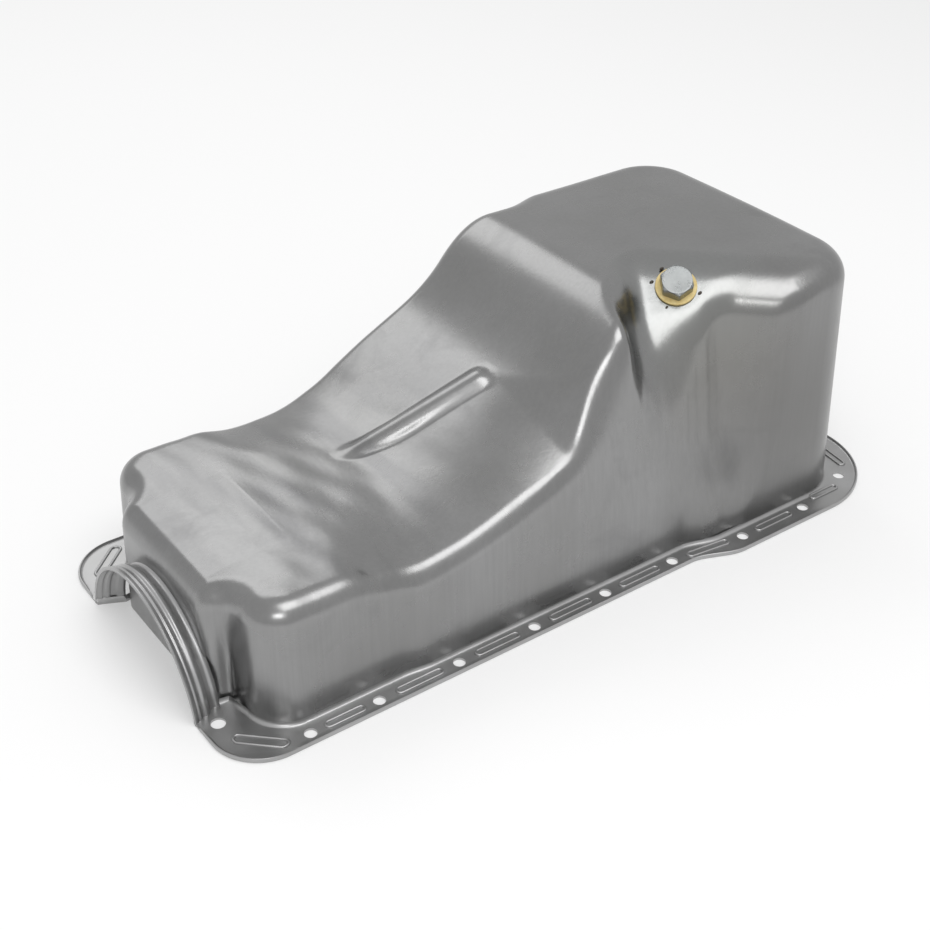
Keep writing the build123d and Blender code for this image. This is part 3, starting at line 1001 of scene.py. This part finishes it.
def drawn_steel():
    """Bare drawn sheet steel: satin, smudged, with draw lines, heat tint by the drain and painted
    shade on the near sump wall.
    """
    steel = Finish("drawn steel")
    clouds = steel.noise(9.0, 5.0, 0.55)
    smudges = steel.noise(26.0, 6.0, 0.6, distortion=0.6)
    draw_lines = steel.noise(1.0, 3.0, 0.6, steel.stretched((420.0, 420.0, 5.0)))
    grain = steel.noise(900.0, 3.0, 0.7)
    cloudy = steel.span(clouds, 0.35, 0.7, 0.0, 1.0)
    color = steel.mix(cloudy, (0.28, 0.28, 0.278), (0.33, 0.33, 0.332))
    color = steel.mix(steel.span(smudges, 0.55, 0.75, 0.0, 0.35), color, (0.225, 0.225, 0.227))
    color = steel.mix(steel.span(draw_lines, 0.3, 0.75, 0.0, 0.22), color, (0.20, 0.20, 0.20))
    # Heat tint round the drain, browner below it, then painted shade darkening the near sump wall
    tint = steel.near((356.0, -62.0, 152.0), 62.0)
    color = steel.mix(steel.combine("MULTIPLY", tint, 0.4), color, (0.34, 0.36, 0.35))
    warm = steel.near((366.0, -88.0, 118.0), 60.0)
    color = steel.mix(steel.combine("MULTIPLY", warm, 0.5), color, (0.26, 0.25, 0.225))
    # Painted shade: the near sump wall is darkened to stand in for its dim reflection of the floor
    wall = steel.near((415.0, -135.0, 75.0), 125.0)
    color = steel.mix(steel.combine("MULTIPLY", wall, 0.9), color, (0.165, 0.163, 0.158))
    # Soft dark stripes across the deck
    slanted = steel.stretched((52.0, 9.0, 30.0), (0, 0, math.radians(24)))
    stripes = steel.noise(1.0, 2.0, 0.5, slanted)
    deck = steel.near((110.0, 10.0, 95.0), 135.0)
    stripe_mask = steel.combine("MULTIPLY", deck, steel.span(stripes, 0.46, 0.62, 0.0, 0.6))
    color = steel.mix(stripe_mask, color, (0.17, 0.17, 0.175))
    steel.set(color=color, metal=1.0)
    rough = steel.span(clouds, 0.3, 0.75, 0.23, 0.33)
    rough = steel.combine("ADD", rough, steel.span(smudges, 0.5, 0.8, 0.0, 0.09))
    steel.set(rough=rough)
    normal = steel.bump(draw_lines, 0.12, 0.0004)
    normal = steel.bump(grain, 0.10, 0.00012, normal)
    steel.set(normal=normal)
    return steel.material


def rail_steel():
    """Steel of the rail and the seal bands, a little duller."""
    steel = Finish("rail steel")
    clouds = steel.noise(22.0, 5.0, 0.6)
    grain = steel.noise(700.0, 3.0, 0.7)
    cloudy = steel.span(clouds, 0.35, 0.7, 0.0, 1.0)
    color = steel.mix(cloudy, (0.38, 0.38, 0.378), (0.46, 0.46, 0.462))
    steel.set(color=color, metal=1.0)
    steel.set(rough=steel.span(clouds, 0.3, 0.75, 0.32, 0.42))
    steel.set(normal=steel.bump(grain, 0.12, 0.00012))
    return steel.material


def zinc():
    """Zinc plate on a turned plug: fine rings and stretched highlights about the drain's axis."""
    plate = Finish("zinc plate")
    away = plate.nodes.new("ShaderNodeVectorMath")
    away.operation = "SUBTRACT"
    away.inputs[1].default_value = tuple(to_metres(SEAT))
    plate.links.new(plate.place, away.inputs[0])
    across = plate.nodes.new("ShaderNodeVectorMath")
    across.operation = "CROSS_PRODUCT"
    across.inputs[1].default_value = tuple(DRAIN_AXIS)
    plate.links.new(away.outputs["Vector"], across.inputs[0])
    length = plate.nodes.new("ShaderNodeVectorMath")
    length.operation = "LENGTH"
    plate.links.new(across.outputs["Vector"], length.inputs[0])
    rings = plate.combine("MULTIPLY", length.outputs["Value"], 9000.0)
    rings = plate.combine("SINE", rings, 0.0)
    blotch = plate.noise(180.0, 4.0, 0.6)
    blotchy = plate.span(blotch, 0.3, 0.7, 0.0, 1.0)
    color = plate.mix(blotchy, (0.23, 0.24, 0.24), (0.30, 0.31, 0.31))
    plate.set(color=color, metal=1.0)
    plate.set(rough=plate.span(blotch, 0.3, 0.8, 0.24, 0.36))
    plate.shader.inputs["Anisotropic"].default_value = 0.8
    round_way = plate.nodes.new("ShaderNodeVectorMath")
    round_way.operation = "NORMALIZE"
    plate.links.new(across.outputs["Vector"], round_way.inputs[0])
    plate.links.new(round_way.outputs["Vector"], plate.shader.inputs["Tangent"])
    plate.set(normal=plate.bump(rings, 0.25, 0.00008))
    return plate.material


def fibre():
    """Pale yellow sealing washer."""
    ring = Finish("yellow fibre")
    speck = ring.noise(420.0, 5.0, 0.65)
    specked = ring.span(speck, 0.3, 0.7, 0.0, 1.0)
    ring.set(color=ring.mix(specked, (0.62, 0.46, 0.17), (0.76, 0.62, 0.30)))
    ring.set(metal=0.0, rough=0.55)
    ring.set(normal=ring.bump(speck, 0.2, 0.0002))
    return ring.material


def nut_steel():
    """Dark steel of the welded nut."""
    steel = Finish("nut steel")
    grain = steel.noise(300.0, 4.0, 0.6)
    grained = steel.span(grain, 0.3, 0.7, 0.0, 1.0)
    steel.set(color=steel.mix(grained, (0.20, 0.19, 0.18), (0.30, 0.29, 0.28)))
    steel.set(metal=1.0, rough=0.45)
    steel.set(normal=steel.bump(grain, 0.2, 0.0001))
    return steel.material


def scorch():
    """Dark burnt weld marks."""
    burn = Finish("weld scorch")
    speck = burn.noise(500.0, 4.0, 0.6)
    specked = burn.span(speck, 0.35, 0.7, 0.0, 1.0)
    burn.set(color=burn.mix(specked, (0.05, 0.045, 0.04), (0.12, 0.10, 0.085)))
    burn.set(metal=0.6, rough=0.55)
    return burn.material


def pale_floor():
    """White studio floor: shows white to the camera and in reflections, and keeps the shadow."""
    floor = Finish("studio floor")
    floor.set(color=(0.70, 0.70, 0.70), rough=0.9)
    floor.shader.inputs["Specular IOR Level"].default_value = 0.0
    glow = floor.nodes.new("ShaderNodeEmission")
    glow.inputs["Color"].default_value = (1.0, 1.0, 1.0, 1.0)
    rays = floor.nodes.new("ShaderNodeLightPath")
    seen = floor.combine("MAXIMUM", rays.outputs["Is Camera Ray"], rays.outputs["Is Glossy Ray"])
    seen = floor.combine("MAXIMUM", seen, rays.outputs["Is Transmission Ray"])
    strength = floor.combine("MULTIPLY", seen, 0.24)
    floor.links.new(strength, glow.inputs["Strength"])
    both = floor.nodes.new("ShaderNodeAddShader")
    floor.links.new(floor.shader.outputs["BSDF"], both.inputs[0])
    floor.links.new(glow.outputs["Emission"], both.inputs[1])
    floor.links.new(both.outputs["Shader"], floor.out.inputs["Surface"])
    return floor.material


# Make the pieces

steel = drawn_steel()
rail_finish = rail_steel()
zinc_plate = zinc()
yellow = fibre()
dark_nut = nut_steel()
burnt = scorch()

shell = drawn_shell(steel)
arch_beads = ((4.6, 1.1), (9.8, 2.3))
arch_band = seal_band("arch_band", ARCH_RIM, ARCH_VALLEY, 0.0, 1, 17.0, arch_beads, rail_finish)
cover_beads = ((5.0, 1.1), (10.5, 2.3))
cover_band = seal_band(
    "cover_band", COVER_RIM, COVER_VALLEY, RAIL_LENGTH, -1, 28.0, cover_beads, rail_finish
)

rail_near = rail_side("rail_near", -1, rail_finish)
rail_far = rail_side("rail_far", 1, rail_finish)
hole_tree = bolt_hole_tree()
for rail, side in ((rail_near, -1), (rail_far, 1)):
    small = [(x, side * y, 2.0) for x, y, _ in bolt_places()]
    small.append((SUMP_CORNER_BOLT[0], side * SUMP_CORNER_BOLT[1], 2.0))
    large = [(x, side * y, 2.0) for x, y in (ARCH_BOLT, COVER_BOLT)]
    for places, size in ((small, BOLT_HOLE), (large, ARCH_BOLT_HOLE)):
        marks = points_piece("hole_places", places)
        values = {"Places": marks, "Hole Radius": size / 2 * MM, "Material": rail_finish}
        apply_tree(rail, hole_tree, values)
        bpy.data.objects.remove(marks)
    smooth(rail, 32.0)

ridges = edge_lines("rail_ridges", bead_loops())
apply_tree(ridges, ridge_tree(), {"Width": 0.0019, "Height": 0.0017, "Material": rail_finish})
smooth(ridges, 60.0)

washer_piece = washer(yellow)
head = plug_head(zinc_plate)
thread = plug_thread(zinc_plate)

weld_marks = points_piece("weld_marks", [
    on_drain(WELD_RING * math.cos(a), WELD_RING * math.sin(a), 0.0) for a in np.radians(WELD_ANGLES)
])
apply_tree(weld_marks, weld_mark_tree(), {"Mark Size": 0.0012, "Seed": 4, "Material": burnt})
smooth(weld_marks, 60.0)

for piece in (shell, arch_band, cover_band, rail_near, rail_far, ridges, weld_marks):
    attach(piece, "pan")
    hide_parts("pan_body")
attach(washer_piece, "gasket")
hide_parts("drain_gasket")
for piece in (head, thread):
    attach(piece, "plug")
    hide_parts("drain_plug")
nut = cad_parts["drain_nut"]
for slot in nut.material_slots:
    slot.material = dark_nut

# Floor, light and camera

floor_mesh = bpy.data.meshes.new("floor")
r = FLOOR_REACH
floor_mesh.from_pydata([(-r, -r, 0), (r, -r, 0), (r, r, 0), (-r, r, 0)], [], [(0, 1, 2, 3)])
floor = bpy.data.objects.new("floor", floor_mesh)
floor.data.materials.append(pale_floor())
bpy.context.scene.collection.objects.link(floor)


def softbox(name, place, target, width, height, power):
    """An area lamp at a place, turned to a target."""
    light = bpy.data.lights.new(name, "AREA")
    light.shape = "RECTANGLE"
    light.size = width
    light.size_y = height
    light.energy = power
    lamp = bpy.data.objects.new(name, light)
    lamp.location = place
    lamp.rotation_mode = "QUATERNION"
    lamp.rotation_quaternion = (Vector(target) - Vector(place)).to_track_quat("-Z", "Y")
    bpy.context.scene.collection.objects.link(lamp)


softbox("top_softbox", (0.02, -0.58, 1.45), (0.05, -0.05, 0.05), 1.15, 0.8, 7.6)
softbox("back_softbox", (0.08, 1.25, 1.25), (-0.05, 0.0, 0.08), 1.0, 0.9, 3.6)
softbox("front_softbox", (-1.15, -1.35, 1.30), (0.0, 0.0, 0.1), 0.75, 0.5, 5.5)

world = bpy.data.worlds.new("studio")
world.use_nodes = True
sky = world.node_tree.nodes["Background"]
sky.inputs["Color"].default_value = (0.92, 0.92, 0.92, 1.0)
sky.inputs["Strength"].default_value = 0.78
bpy.context.scene.world = world

ahead = Vector((
    math.sin(VIEW_AZIMUTH) * math.cos(VIEW_ELEVATION),
    math.cos(VIEW_AZIMUTH) * math.cos(VIEW_ELEVATION),
    -math.sin(VIEW_ELEVATION),
))
right = Vector((math.cos(VIEW_AZIMUTH), -math.sin(VIEW_AZIMUTH), 0.0))
up = right.cross(ahead)
rolled_right = right * math.cos(VIEW_ROLL) + up * math.sin(VIEW_ROLL)
rolled_up = up * math.cos(VIEW_ROLL) - right * math.sin(VIEW_ROLL)
camera_data = bpy.data.cameras.new("camera")
camera_data.lens = 58.2
camera_data.sensor_width = 36.0
camera = bpy.data.objects.new("camera", camera_data)
camera.matrix_world = Matrix((
    (rolled_right.x, rolled_up.x, -ahead.x, CAMERA_PLACE[0]),
    (rolled_right.y, rolled_up.y, -ahead.y, CAMERA_PLACE[1]),
    (rolled_right.z, rolled_up.z, -ahead.z, CAMERA_PLACE[2]),
    (0.0, 0.0, 0.0, 1.0),
))
bpy.context.scene.collection.objects.link(camera)
bpy.context.scene.camera = camera
bpy.context.scene.view_settings.view_transform = "Standard"
